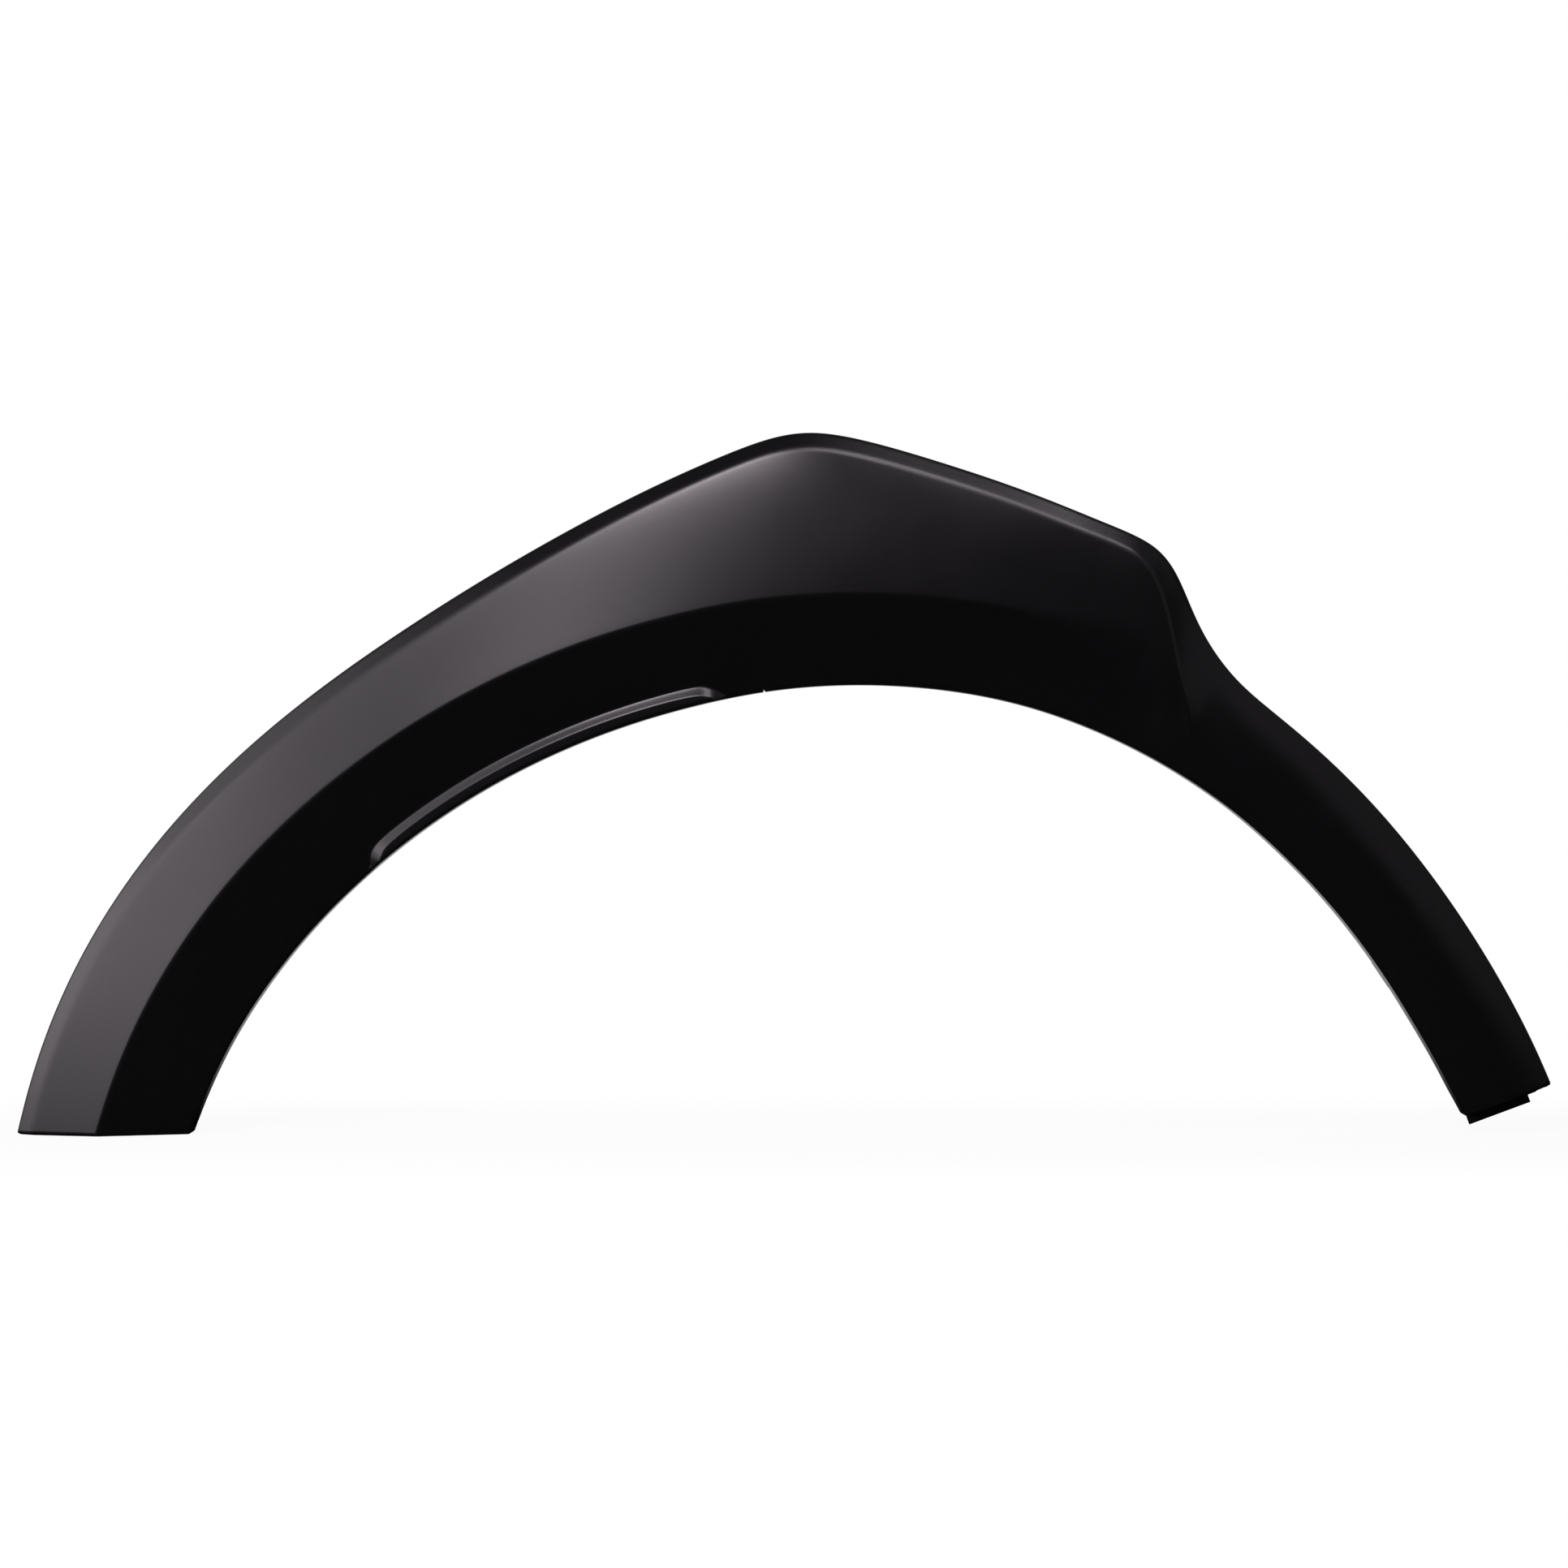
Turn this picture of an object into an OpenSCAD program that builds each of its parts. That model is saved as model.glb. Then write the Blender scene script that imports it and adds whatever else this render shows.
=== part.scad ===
// Wheel arch trim: the moulded plastic flare that is clipped around one front wheel opening.
// It stands as on the car: Z up, X along the car, the painted wing behind it on the +Y side.
// The trim rests against the wing in the plane Y = 0, and the face that shows looks towards -Y.
// The origin is the foot of the main locating pin, straight above the wheel's axis.

/* [Arch] */
// Radius of the wheel opening at its crown
opening_r = 382; // [360:1:410]
// Angle of the outer corner at the sill end, from the X axis
sill_a = 166.6; // [164:0.1:168]
// Angle of the end that meets the bumper
tail_a = 19; // [17:0.5:21]
// Width of the trim, from opening to outer edge, at the sill end
sill_w = 120.5; // [112:0.5:128]
// Width where the rear arm is slimmest
arm_w = 106; // [102:0.5:112]
// Width at the peak of the crown
peak_w = 151; // [144:0.5:158]
// Width of the roof between the peak and the shoulder
roof_w = 119.5; // [114:0.5:126]
// Width of the narrow tail in front of the wheel
tail_w = 58; // [54:0.5:64]
// How far the tail sweeps back around the corner of the car
tail_back = 12; // [0:1:20]

/* [Section] */
// Wall of the moulding
wall = 2.8; // [2.4:0.1:3.2]
// How far the corner of the outer rim stands in front of the wing
rim_d = 3; // [2.6:0.1:4]
// How far the return flange reaches in behind the wing
flange_d = 18; // [14:1:24]
// Wall at the free edge of the return flange
flange_tip = 2.2; // [1.8:0.1:2.4]
// Width of the rolled band along the outer edge
edge_w = 10; // [8:0.5:12]
// Depth of that band's inner line in front of the wing
edge_d = 9; // [7.5:0.5:11]
// Distance from the opening to the crease that runs around the arch
crease_w = 53; // [49:0.5:57]
// Depth of the crease in front of the wing
crease_d = 20; // [17:0.5:23]
// How far the upper face swells next to the band line, at the crown
face_bulge = 1.2; // [0:0.1:2]
// Depth of the tail's crest in front of the wing
tail_d = 9.5; // [8.5:0.5:11]
// Length of the rounding at the outer rim
rim_round = 1.5; // [0.8:0.1:2]
// Length of the rounding at the band line
fold_round = 2.2; // [1.5:0.1:3.5]
// Length of the rounding at the crease
crease_round = 1.9; // [1:0.1:3]
// Length of the rounding at the wheel opening
opening_round = 2.5; // [1.5:0.1:3.5]
// Radius that the face rolls back with at both ends
end_round = 2; // [1:0.1:2.5]

/* [Tyre cover pad] */
// Angle of the pad's rear end on the opening
pad_rear_a = 136; // [130:0.1:140]
// Angle of the pad's front end
pad_front_a = 100.2; // [96:0.1:106]
// Width of the pad
pad_w = 12; // [10:0.5:13]
// Width of the sloped step along its foot
pad_step = 6; // [4:0.5:7]
// Depth of its flat top in front of the wing
pad_d = 8.5; // [7:0.5:10]
// Slant at which both of its ends run out to the opening
pad_end_a = 47; // [35:1:70]
// How much its two corners are rounded off
pad_corner = 4.9; // [2:0.1:7]

/* [Locating pins] */
// Radius of the main locating pin
pin_r = 4; // [3:0.5:5]
// Radius of the second pin, which goes into a slot
slot_pin_r = 3.5; // [2.5:0.5:4.5]
// Length of the straight part of a pin
pin_l = 8; // [6:0.5:10]
// Length of the chamfered tip
pin_tip = 2; // [1:0.5:3]
// Radius of the boss below a pin
boss_r = 7; // [6:0.5:8]
// Height of the main pin above the edge of the opening
pin_up = 93; // [86:1:100]
// Angle of the second pin
slot_pin_a = 152; // [149:0.5:155]
// Its distance from the outer edge
slot_pin_in = 32; // [26:1:38]

/* [Clip seats] */
// Length of a clip seat across the trim
seat_l = 22; // [18:1:24]
// Width of a clip seat along the trim
seat_w = 16; // [12:1:18]
// Thickness of its legs and top
seat_t = 2; // [1.6:0.1:2.6]
// How far its top stays in front of the wing, for the clip's head
seat_gap = 1; // [0.6:0.1:1.4]
// Length of the slot for the clip's neck
slot_l = 12; // [9:0.5:13]
// Width of that slot
slot_w = 6; // [4:0.5:8]

/* [Screw lugs] */
// Radius of the screw holes in the return flange's lugs
screw_r = 3; // [2:0.25:3.5]
// Width of a lug with one hole
lug_w = 18; // [14:1:22]
// How far a lug reaches in behind the flange's free edge
lug_out = 12; // [10:1:15]
// Thickness of a lug
lug_t = 2; // [1.6:0.1:2.4]
// Distance between the two holes of the crown's lug
screw_pitch = 30; // [24:1:40]

/* [Ribs and ends] */
// Thickness of the ribs behind the lower band
rib_t = 2; // [1.4:0.1:2.4]
// How far the ribs reach back along the flange
rib_d = 12; // [8:1:13]
// Thickness of the wall that closes each end
end_t = 2.5; // [2:0.1:3]
// How far that wall lies in from the end
end_in = 3; // [2.5:0.1:5]
// Thickness of the tongue that goes under the bumper
tongue_t = 2.5; // [2:0.1:3]
// How far the tongue reaches past the end
tongue_out = 6; // [3:0.5:9]
// Depth of the tongue's face behind the wing's plane
tongue_y = 6; // [4:0.5:7.5]

/* [Smoothness] */
// Sections in each span of the outer edge
steps = 4; // [3:1:5]

/* [Hidden] */
colour = [0.09, 0.09, 0.1];

// The outer edge, as [angle, width outwards from the opening] of the points that pull it.
edge_cage = [
  [sill_a, sill_w],
  [157, sill_w + 1.5],
  [145.5, sill_w - 3],
  [131.5, arm_w + 2],
  [120.5, arm_w],
  [109.5, arm_w + 10],
  [99.5, peak_w - 15],
  [95, peak_w - 3],
  [92, peak_w],
  [88.5, peak_w - 6.5],
  [83.5, peak_w - 17],
  [77.5, roof_w + 6],
  [72, roof_w],
  [68, roof_w - 0.5],
  [65.5, roof_w - 18],
  [63, tail_w + 23.5],
  [59, tail_w + 7.5],
  [54, tail_w + 4.5],
  [46.5, tail_w + 2],
  [37.5, tail_w - 0.5],
  [28.5, tail_w],
  [tail_a, tail_w + 4.5]
];

// How much the opening's radius differs from its nominal one, by angle, tail first.
opening_law = [
  [tail_a, 8],
  [22, 5],
  [30, 1],
  [45, 0.5],
  [55, 2],
  [67, 2.7],
  [75, 2.5],
  [85, 0.6],
  [95, -1],
  [105, -2.3],
  [115, -1],
  [125, 2.4],
  [135, 7.2],
  [145, 13],
  [155, 18.5],
  [163, 21.5]
];

// Distance of the band's inner line from the outer edge.
// It leaves the edge at the shoulder and runs down to the opening.
edge_law = [
  [tail_a, tail_w - 38],
  [45, tail_w - 36],
  [52, tail_w - 26],
  [57, tail_w - 15],
  [60, tail_w - 13],
  [61, tail_w - 20],
  [64, tail_w - 31.5],
  [67, 17],
  [68, 14.4],
  [70, edge_w + 1.4],
  [75, edge_w + 2],
  [85, edge_w + 1],
  [95, edge_w],
  [166, edge_w]
];

// Depth of the same line.
edge_d_law = [
  [tail_a, tail_d - 1.5],
  [52, tail_d - 0.5],
  [57, edge_d + 2],
  [61, edge_d + 4],
  [64, edge_d + 4],
  [68, edge_d + 1.5],
  [72, edge_d],
  [166, edge_d]
];

// Distance of the crease from the opening.
crease_law = [
  [tail_a, crease_w - 31],
  [45, crease_w - 31],
  [56, crease_w - 35.5],
  [60, crease_w - 35.5],
  [62, crease_w - 25],
  [64, crease_w - 11],
  [68, crease_w - 3],
  [75, crease_w],
  [90, crease_w],
  [105, crease_w + 0.8],
  [135, crease_w + 1.3],
  [150, crease_w + 1],
  [166, crease_w - 0.2]
];

// Swell of the upper face: nearly flat on the rear arm, most at the crown, gone on the shoulder.
face_law = [
  [tail_a, 0],
  [68, 0],
  [78, face_bulge * 0.6],
  [88, face_bulge * 0.9],
  [96, face_bulge],
  [110, face_bulge * 0.5],
  [120, face_bulge * 0.33],
  [130, face_bulge * 0.25],
  [166, face_bulge * 0.25]
];
// It lies next to the band line, this share of the way to the crease.
face_at = 0.25;

// Depth of the crease: it fades out on the shoulder.
crease_d_law = [
  [tail_a, crease_d - 12],
  [56, crease_d - 12.5],
  [60, crease_d - 10.5],
  [64, crease_d - 6],
  [68, crease_d - 3.5],
  [75, crease_d - 1.5],
  [85, crease_d],
  [166, crease_d]
];

// Where the crease's rounding opens, and how long it becomes.
crease_fade = [62, 78];
crease_soft = 24;
// Where the body's section turns into the tail's plain arch.
tail_fade = [57, 64];
// Where the tail starts to sweep back.
sweep_a = 62;
// Below this angle the sections stand square to the opening; above it they lean to the level sill end.
lean_a = 110;
// The last sections before the bumper lean a little too.
tail_lean = 0.16;
tail_lean_a = 25;
// Places across the pad, measured from the opening.
pad_rows = [pad_w + 2, pad_w, pad_w - 1.5, pad_w - 3, pad_w - 4.5, pad_step, pad_step - 1.8];
pad_height = 3.5;
// Rise of the plain face over the same width.
pad_slope = 1.4;
// Spans on the shoulder, where the sections lie twice as close.
shoulder = [12, 16];
// Lets the sides that the mould draws lean a little.
draft = 0.3;
tiny_gap = 0.006;
eps = 0.01;

function turn(a) = [cos(a), sin(a)];
function mix(a, b, k) = a * (1 - k) + b * k;
function clamp(x, lo, hi) = min(max(x, lo), hi);
function ease(x) = let (t = clamp(x, 0, 1)) t * t * (3 - 2 * t);
function unit(v) = v / norm(v);

// Smooth curve through the rows of a law.
function row(t, a, i = 0) = i >= len(t) - 2 || a < t[i + 1][0] ? i : row(t, a, i + 1);
function rise(t, i) =
  let (lo = max(i - 1, 0), hi = min(i + 1, len(t) - 1))
  (t[hi][1] - t[lo][1]) / (t[hi][0] - t[lo][0]);
function law(t, a) =
  let (i = row(t, a), h = t[i + 1][0] - t[i][0], x = clamp((a - t[i][0]) / h, 0, 1))
  let (x2 = x * x, x3 = x2 * x)
  (2 * x3 - 3 * x2 + 1) * t[i][1] + (3 * x2 - 2 * x3) * t[i + 1][1]
  + h * ((x3 - 2 * x2 + x) * rise(t, i) + (x3 - x2) * rise(t, i + 1));

// Cubic B-spline through the cage, whose ends are mirrored so that it starts and stops on them.
last = len(edge_cage) - 1;
spans = last;
cage = concat(
  [2 * edge_cage[0] - edge_cage[1]],
  edge_cage,
  [2 * edge_cage[last] - edge_cage[last - 1]]
);
function edge(u) =
  let (i = min(floor(u), spans - 1), t = u - i, s = 1 - t)
  (s * s * s * cage[i] + (3 * t * t * t - 6 * t * t + 4) * cage[i + 1]
  + (3 * s * s * s - 6 * s * s + 4) * cage[i + 2] + t * t * t * cage[i + 3]) / 6;

// The sill end is level, so its section leans.
sill_z = (opening_r + sill_w) * sin(sill_a);
sill_open_a = 180 - asin(sill_z / (opening_r + law(opening_law, 163)));
function open_angle(u) =
  let (a = edge(u)[0], x = max(a - lean_a, 0) / (sill_a - lean_a))
  let (y = max(tail_lean_a - a, 0) / (tail_lean_a - tail_a))
  a - (sill_a - sill_open_a) * x * x - tail_lean * y * y;
function u_at(a, lo = 0, hi = spans, n = 22) =
  let (m = (lo + hi) / 2)
  n == 0 ? m : open_angle(m) > a ? u_at(a, m, hi, n - 1) : u_at(a, lo, m, n - 1);

// The two ends of a section as seen from the front, its direction, and its plan offset.
function outer_at(u) = let (e = edge(u)) (opening_r + e[1]) * turn(e[0]);
function inner_at(u) = let (a = open_angle(u)) (opening_r + law(opening_law, a)) * turn(a);
function width_at(u) = norm(inner_at(u) - outer_at(u));
function sweep(a) =
  let (x = max(sweep_a - a, 0) / (sweep_a - tail_a))
  tail_back * x * x;
sweep_at = function(u) sweep(edge(u)[0]);

// A point on the curve from a to b that is pulled towards v.
function bow(a, v, b, t) = (1 - t) * (1 - t) * a + 2 * t * (1 - t) * v + t * t * b;

// Rounding between two straight parts of a section.
function bend(p, v, n, len, k) =
  let (a = v + unit(p - v) * len, b = v + unit(n - v) * len)
  [for (i = [0 : k]) bow(a, v, b, i / k)];

// Rise of the tyre cover pad over the face, e in from the opening's edge.
function pad_lift(a, r, e, face) =
  let (along = min(pad_rear_a - a, a - pad_front_a) * PI / 180 * r)
  let (p = along * sin(pad_end_a) - e * cos(pad_end_a), q = pad_w - e)
  let (inside = (p + q - norm([p - q, pad_corner])) / 2)
  clamp(inside * pad_height / pad_step, 0, max(pad_d - face, 0));

// The tail is one plain arch.
function arch_d(x) = rim_d + (tail_d - rim_d) * 4 * x * (1 - x);

// Outer skin of a section: [distance in from the outer edge, depth in front of the wing].
function skin(u) =
  let (a = edge(u)[0], w = width_at(u), ao = open_angle(u), ro = opening_r + law(opening_law, ao))
  let (k = 1 - ease((a - tail_fade[0]) / (tail_fade[1] - tail_fade[0])))
  let (soft = 1 - ease((a - crease_fade[0]) / (crease_fade[1] - crease_fade[0])))
  let (rim = [0, rim_d], line = [law(edge_law, a), law(edge_d_law, a)])
  let (crease = [w - law(crease_law, a), law(crease_d_law, a)], lip = [w, rim_d])
  let (room = min((crease[0] - line[0]) * 0.55, (w - pad_rows[0] - crease[0]) * 0.9))
  let (crease_len = min(mix(crease_round, crease_soft, soft), room))
  let (line_len = min(fold_round, (crease[0] - line[0]) * 0.35, line[0] * 0.35))
  let (crown = mix(line, crease, face_at) + [0, law(face_law, a)])
  let (tail_mix = function(p) [p[0], mix(p[1], arch_d(p[0] / w), k)])
  let (face = function(s) mix(crease[1], lip[1], (s - crease[0]) / (lip[0] - crease[0])))
  let (pad = [for (e = pad_rows)
    let (q = tail_mix([w - e, face(w - e)])) q + [0, pad_lift(ao, ro, e, q[1])]])
  let (edge_pt = lip + [0, pad_lift(ao, ro, 0, rim_d)])
  let (rim_bend = bend([0, 0], rim, line, rim_round, 2))
  let (line_bend = bend(rim, line, crown, line_len, 3))
  let (crease_bend = bend(crown, crease, lip, crease_len, 4))
  concat(
    [[draft, 0]],
    rim_bend,
    [for (t = [1 / 3, 2 / 3]) tail_mix(mix(rim_bend[2], line_bend[0], t))],
    [for (p = line_bend) tail_mix(p)],
    [for (t = [0.35, 0.68]) tail_mix(bow(line_bend[3], crown, crease_bend[0], t))],
    [for (p = crease_bend) tail_mix(p)],
    [tail_mix(mix(crease_bend[4], [w - pad_rows[0], face(w - pad_rows[0])], 0.5))],
    pad,
    bend(pad[len(pad) - 1], edge_pt, [w, -flange_d], opening_round, 3),
    [[w - draft, -flange_d]]
  );

// The hollow side, one wall behind the skin; the numbers are places in the list that skin() makes.
function behind(p, q, at) = let (d = unit(q - p)) at + wall * [d[1], -d[0]];
function back(k) =
  let (w = k[len(k) - 1][0] + draft, lift = max(k[24][1] - rim_d - pad_slope, 0) * 0.5)
  [
    [wall, 0],
    [wall, rim_d - wall * 0.6],
    behind(k[4], k[5], (k[4] + k[5]) / 2),
    behind(k[6], k[9], (k[7] + k[8]) / 2),
    behind(k[10], k[11], (k[10] + k[11]) / 2),
    behind(k[12], k[16], k[14]),
    behind(k[16], k[18], k[17]),
    behind(k[17], k[18], k[18]),
    [w - wall, rim_d - wall + lift],
    [w - draft - flange_tip, -flange_d]
  ];

// Which point of the hollow side faces each point of the skin.
facing = [0, 1, 1, 1, 2, 2, 3, 3, 3, 3, 4, 4, 5, 5, 5, 5, 5, 6, 7, 7, 7, 7, 7, 7, 7, 8, 8, 8, 8, 9];

// Both ends roll back and in, as a moulding's cut edge does; less so at the wheel opening.
roll_in = 0.5;
function roll(q) = q >= end_round ? 0 : end_round - sqrt(pow(end_round, 2) - pow(end_round - q, 2));
function rolled(p, w, q) =
  let (r = roll(q))
  [r + p[0] * (w - r * (1 + roll_in)) / w, p[1] - r * clamp(p[1] / rim_d, 0, 1)];

// A whole section as points in space.
function section(u) =
  let (e = edge(u), o = outer_at(u), d = unit(inner_at(u) - o), w = width_at(u), k = skin(u))
  let (arc = (opening_r + e[1]) * PI / 180)
  let (q = max(min((sill_a - e[0]) * arc, (e[0] - tail_a) * arc), 0))
  let (b = back(k))
  [for (p = concat(k, [for (i = [len(b) - 1 : -1 : 0]) b[i]]))
    let (m = rolled(p, w, q), f = o + d * m[0]) [f[0], sweep_at(u) - m[1], f[1] - datum]];

// Height of the origin above the wheel's axis.
datum = opening_r + pin_up;

// Places of the sections along the edge, closer at the ends and at both ends of the pad.
function sorted(v) = len(v) < 2 ? v
  : let (p = v[0])
    concat(
      sorted([for (i = [1 : 1 : len(v) - 1]) if (v[i] < p - tiny_gap) v[i]]),
      [p],
      sorted([for (i = [1 : 1 : len(v) - 1]) if (v[i] > p + tiny_gap) v[i]])
    );
end_places = [0.25, 0.6, 1.2, 2.2, 4];
pad_places = [-0.5, 2.5, 5.5, 8.5, 11.5, 14.5, 18, 23];
degree_mm = 180 / PI / opening_r;
sill_span = norm(outer_at(0) - outer_at(0.1)) * 10;
tail_span = norm(outer_at(spans) - outer_at(spans - 0.1)) * 10;
places = sorted(concat(
  [0, spans],
  [for (q = end_places) q / sill_span],
  [for (q = end_places) spans - q / tail_span],
  [for (q = pad_places) u_at(pad_rear_a - q * degree_mm)],
  [for (q = pad_places) u_at(pad_front_a + q * degree_mm)],
  [for (i = [0 : spans - 1], j = [0 : steps - 1]) i + j / steps],
  [for (i = [shoulder[0] : shoulder[1]], j = [0 : steps - 1]) i + (j + 0.5) / steps]
));

// Skin that closes on itself: rings of points, and a flat cap on each end.
module shell() {
  rings = [for (u = places) section(u)];
  m = len(rings[0]);
  n = len(rings);
  out = len(facing);
  points = [for (r = rings, p = r) p];
  sides = [for (i = [0 : n - 2], j = [0 : m - 1]) let (a = i * m + j, b = i * m + (j + 1) % m) each
    [[a, a + m, b], [b, a + m, b + m]]];
  function inner(j) = m - 1 - facing[j];
  cap = [for (j = [0 : out - 2]) each concat(
    [[j, j + 1, inner(j)]],
    facing[j + 1] > facing[j] ? [[j + 1, inner(j + 1), inner(j)]] : []
  )];
  far = (n - 1) * m;
  polyhedron(
    points = points,
    faces = concat(
      sides,
      cap,
      [for (f = cap) [far + f[0], far + f[2], far + f[1]]]
    )
  );
}

// Puts what is drawn as [distance in, depth behind the wing] at the point o, with in along d.
module placed(o, d, y)
  multmatrix([
    [d[0], 0, -d[1], o[0]],
    [0, 1, 0, y],
    [d[1], 0, d[0], o[1] - datum],
    [0, 0, 0, 1]
  ])
    children();

// The same in the section at u, measured in from the outer edge.
module across(u)
  placed(outer_at(u), unit(inner_at(u) - outer_at(u)), sweep_at(u))
    children();

// Y of the middle of the wall, s in from the outer edge.
function front(u) = [for (p = skin(u)) if (p[1] > rim_d / 2) p];
function mid_y(u, s) = wall / 2 - lookup(s, front(u));

// Bridge with a slot, which takes the neck of a body clip.
module clip_seat(a, s) {
  u = u_at(a);
  lo = s - seat_l / 2;
  hi = s + seat_l / 2;
  across(u)
    difference() {
      translate([0, 0, -seat_w / 2])
        linear_extrude(seat_w)
          polygon([
            [lo, mid_y(u, lo)],
            [lo + seat_t, mid_y(u, lo + seat_t)],
            [lo + seat_t, -seat_gap - seat_t],
            [hi - seat_t, -seat_gap - seat_t],
            [hi - seat_t, mid_y(u, hi - seat_t)],
            [hi, mid_y(u, hi)],
            [hi, -seat_gap],
            [lo, -seat_gap]
          ]);
      translate([s - slot_l / 2, -seat_gap - seat_t - eps, -slot_w / 2])
        cube([slot_l, seat_t + 2 * eps, slot_w]);
    }
}

// Gusset between the lower band and the return flange.
module rib(a) {
  u = u_at(a);
  w = width_at(u);
  foot = w - law(crease_law, edge(u)[0]) + rib_foot;
  flat = w - wall - rib_head;
  across(u)
    translate([0, 0, -rib_t / 2])
      linear_extrude(rib_t)
        polygon([
          [foot, mid_y(u, foot)],
          [(foot + flat) / 2, mid_y(u, (foot + flat) / 2)],
          [flat, mid_y(u, flat)],
          [w - wall / 2, wall - rim_d],
          [w - wall / 2, rib_d],
          [flat, rib_d]
        ]);
}
rib_foot = 5;
rib_head = 6;

// Lug that carries screws for the wheel arch liner; it lies in the flange, which faces along d.
module lug(u, d, w, holes) {
  s = -draft - wall / 2 - lug_set;
  placed(inner_at(u), d, sweep_at(u))
    difference() {
      translate([s - lug_t / 2, flange_d - lug_root, -w / 2])
        cube([lug_t, lug_root + lug_out, w]);
      for (z = holes)
        translate([s, flange_d + lug_out / 2, z])
          rotate([0, 90, 0])
            cylinder(h = lug_t + 2, r = screw_r, center = true, $fn = 48);
    }
}
lug_root = 5;
lug_set = 0.4;
function flange_faces(u) =
  let (t = unit(inner_at(u + 0.05) - inner_at(u - 0.05)))
  [t[1], -t[0]];

// Cross of ribs with a round seat, and the pin on it that locates the trim on the wing.
module locating_pin(at, r, u, s) {
  across(u) {
    translate([0, 0, -rib_t / 2])
      linear_extrude(rib_t)
        polygon([
          [s - boss_r, mid_y(u, s - boss_r)],
          [s + boss_r, mid_y(u, s + boss_r)],
          [s + boss_r, -rib_t / 2],
          [s - boss_r, -rib_t / 2]
        ]);
    translate([s - rib_t / 2, mid_y(u, s), -boss_r])
      cube([rib_t, -mid_y(u, s) - rib_t / 2, 2 * boss_r]);
  }
  translate([at[0], sweep_at(u), at[1] - datum])
    rotate([-90, 0, 0]) {
      translate([0, 0, -rib_t])
        cylinder(h = rib_t, r = boss_r + rib_t / 2, $fn = 64);
      translate([0, 0, -rib_t / 2])
        cylinder(h = pin_l + rib_t / 2, r = r, $fn = 64);
      translate([0, 0, pin_l])
        cylinder(h = pin_tip, r1 = r, r2 = r - pin_tip / 2, $fn = 64);
    }
}

// Wall that closes an end between the face and the flange.
module end_wall(u, reach) {
  w = width_at(u);
  a = edge(u)[0];
  lo = wall / 2;
  hi = w - wall / 2;
  stops = [lo + 1, law(edge_law, a), mix(law(edge_law, a), w - law(crease_law, a), 0.5),
    w - law(crease_law, a), w - pad_w, hi - 1];
  across(u)
    translate([0, 0, -end_t / 2])
      linear_extrude(end_t)
        polygon(concat(
          [[lo, -seat_gap]],
          [for (s = stops) [s, mid_y(u, s)]],
          [[hi, wall - rim_d], [hi, rib_d], [w - reach, rib_d], [w - reach - rib_head, -seat_gap]]
        ));
}

// Tongue that slides in under the bumper's edge.
module tongue() {
  u = tail_u;
  w = width_at(u);
  across(u) {
    translate([tongue_in, tongue_y, -tongue_root])
      cube([w - wall / 2 - tongue_in, tongue_t, tongue_root]);
    translate([tongue_in, tongue_y, -eps])
      cube([w - wall * 0.7 - tongue_in, tongue_t, end_in + tongue_out]);
  }
}
sill_u = end_in / sill_span;
tail_u = spans - end_in / tail_span;
tongue_in = 14;
tongue_root = 12;

// Places on the arch, by angle of the opening: [angle, distance in from the outer edge].
seats = [[158, 34], [141, 34], [127, 32], [113, 34], [76, 34], [48, 27], [37, 27], [26, 27]];
ribs = [155, 145, 134, 122, 110, 98, 83, 72, 60, 54, 42, 31];
lugs = [150, 119, 66, 33];
pin_u = u_at(90);
slot_pin_u = u_at(slot_pin_a);
slot_pin_at = mix(outer_at(slot_pin_u), inner_at(slot_pin_u), slot_pin_in / width_at(slot_pin_u));

module arch_trim() {
  color(colour)
    union() {
      shell();
      for (p = seats)
        clip_seat(p[0], p[1]);
      for (a = ribs)
        rib(a);
      for (a = lugs)
        lug(u_at(a), flange_faces(u_at(a)), lug_w, [0]);
      lug(pin_u, [0, -1], lug_w - 4 + screw_pitch, [-screw_pitch / 2, screw_pitch / 2]);
      locating_pin([0, datum], pin_r, pin_u, width_at(pin_u) - pin_up);
      locating_pin(slot_pin_at, slot_pin_r, slot_pin_u, slot_pin_in);
      end_wall(sill_u, wall);
      end_wall(tail_u, width_at(tail_u) - tongue_in + 2);
      tongue();
    }
}

arch_trim();
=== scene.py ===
# %% [markdown]
# # A wheel arch trim
#
# This lesson dresses one part: the black plastic trim that is clipped around the front wheel
# opening of a car. It is a single moulding, a curved strip that is open behind. Everything that
# makes it look real is in how light runs over it: satin plastic, long soft folds, a rolled rim.
#
# The part is already built as a solid model.

# %% Load the solid model
import math

import bpy
import numpy as np
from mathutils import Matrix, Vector
from mathutils.bvhtree import BVHTree


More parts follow.
